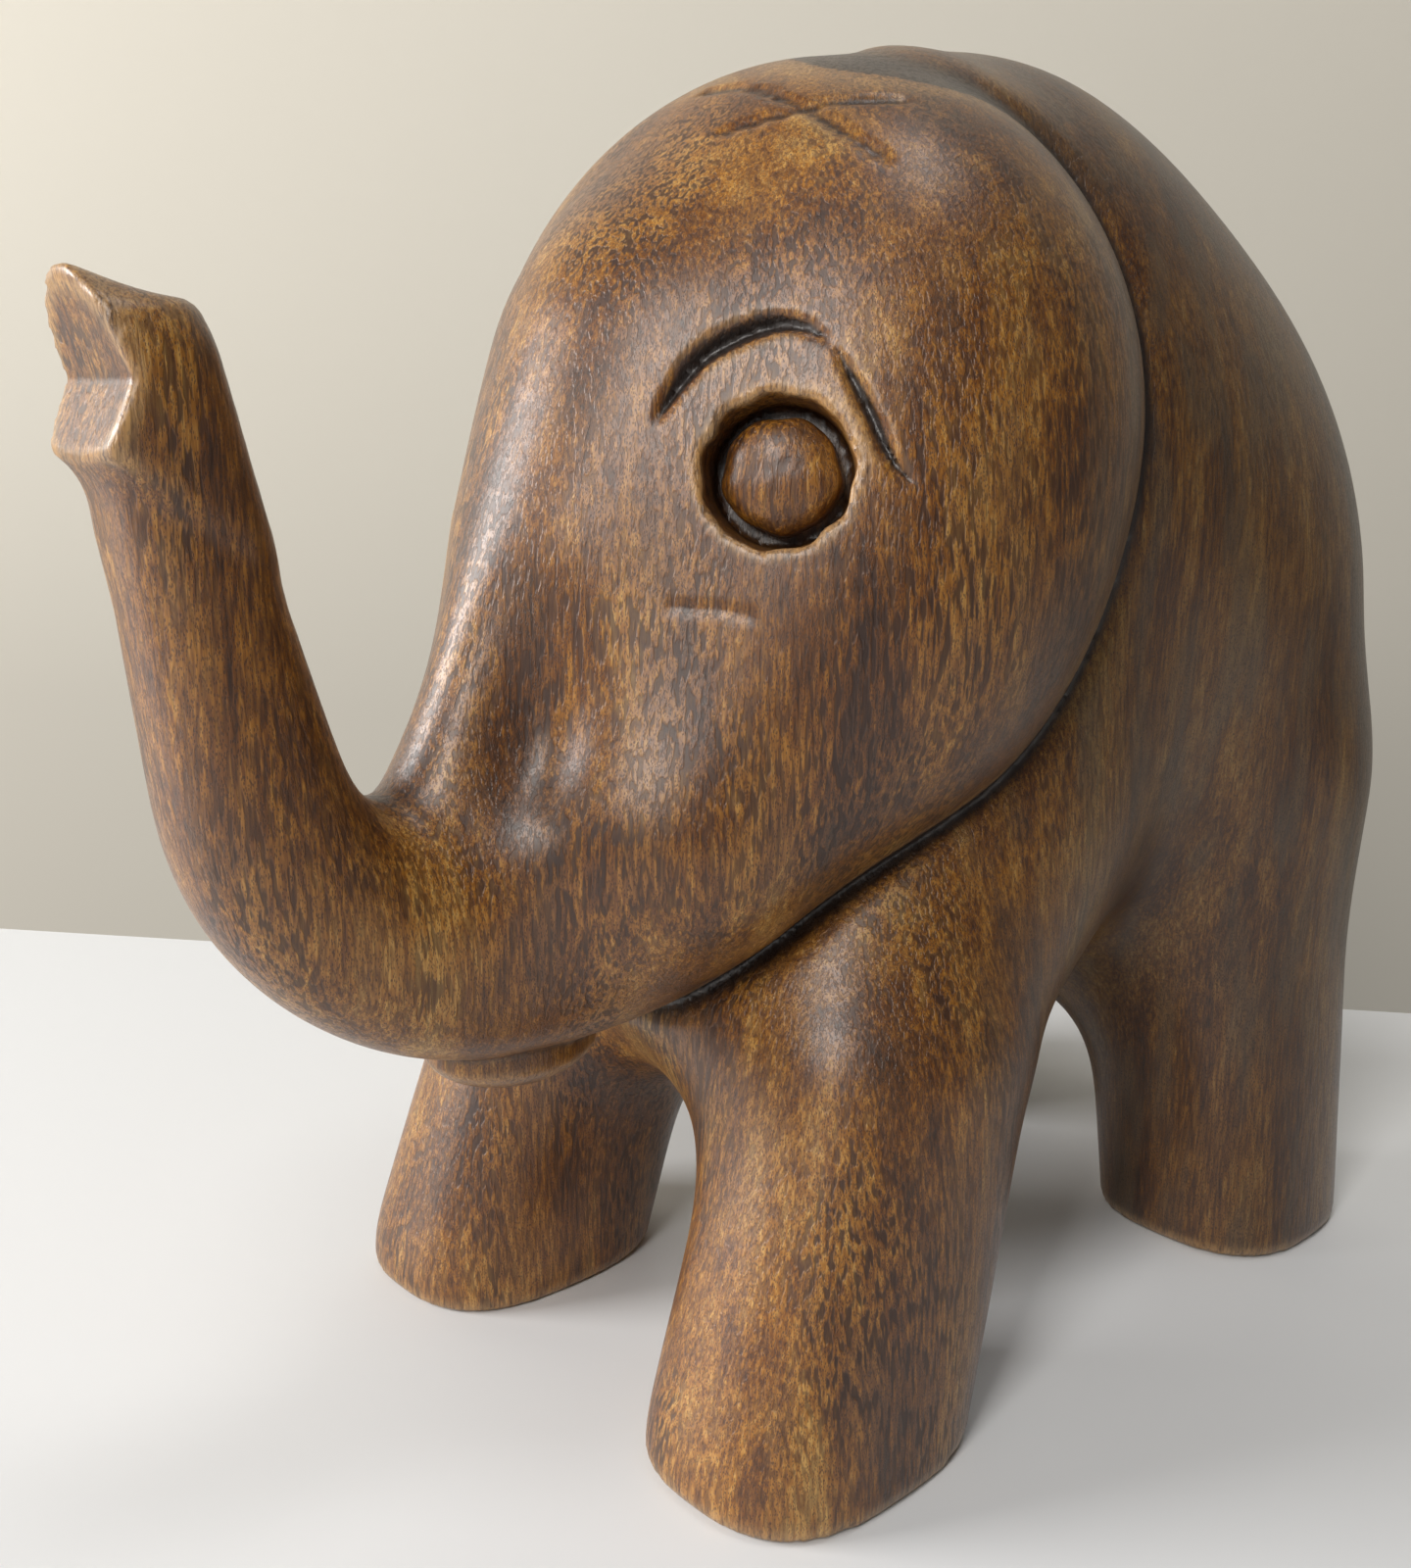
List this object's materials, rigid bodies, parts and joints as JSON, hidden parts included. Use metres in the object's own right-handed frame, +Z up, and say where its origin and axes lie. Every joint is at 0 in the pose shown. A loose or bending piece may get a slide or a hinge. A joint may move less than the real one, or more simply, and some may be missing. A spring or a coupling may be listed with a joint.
{
  "type": "carved wooden elephant figurine",
  "caption": "Free-standing carved elephant with raised trunk, smooth rounded back, ear edge cut as a low step and domed peg eyes in bevelled sockets.",
  "frame": {"origin": "on the ground, under the middle of the figure's length and width", "axes": "+Z up, the figure faces -Y, its left side is towards +X"},
  "size_m": [0.1034, 0.202, 0.1777],
  "materials": {
    "wood": "satin wax over stained hardwood",
    "eye_wood": "satin wax over stained hardwood"
  },
  "bodies": {
    "root": {"carved_body": "wood", "left_eye_peg": "eye_wood", "right_eye_peg": "eye_wood"}
  },
  "joints": []
}
